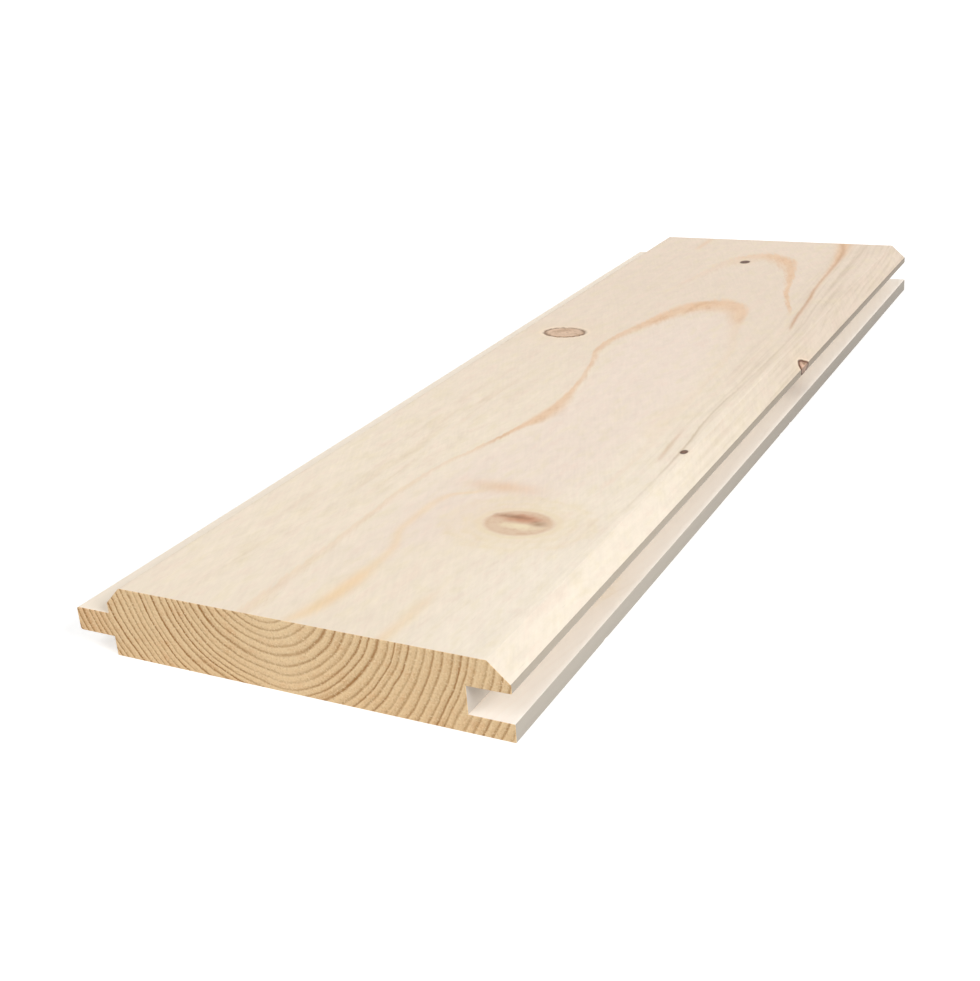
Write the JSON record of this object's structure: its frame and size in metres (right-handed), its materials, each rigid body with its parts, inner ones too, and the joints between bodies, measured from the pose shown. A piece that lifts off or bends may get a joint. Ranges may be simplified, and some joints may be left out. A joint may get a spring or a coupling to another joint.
{
  "type": "tongue and groove board",
  "caption": "Softwood tongue and groove board with a bevelled face, a tongue along one long edge and a groove along the other, for cladding walls and ceilings.",
  "frame": {"origin": "under the middle of the board, on the plane of its back face", "axes": "+Z from the back face to the bevelled face; +Y along the grain, from the front end to the back end; +X across the board, from the tongue to the groove"},
  "size_m": [0.121, 0.375, 0.019],
  "materials": {
    "softwood": "planed, untreated"
  },
  "bodies": {
    "root": {"board": "softwood"}
  },
  "joints": []
}
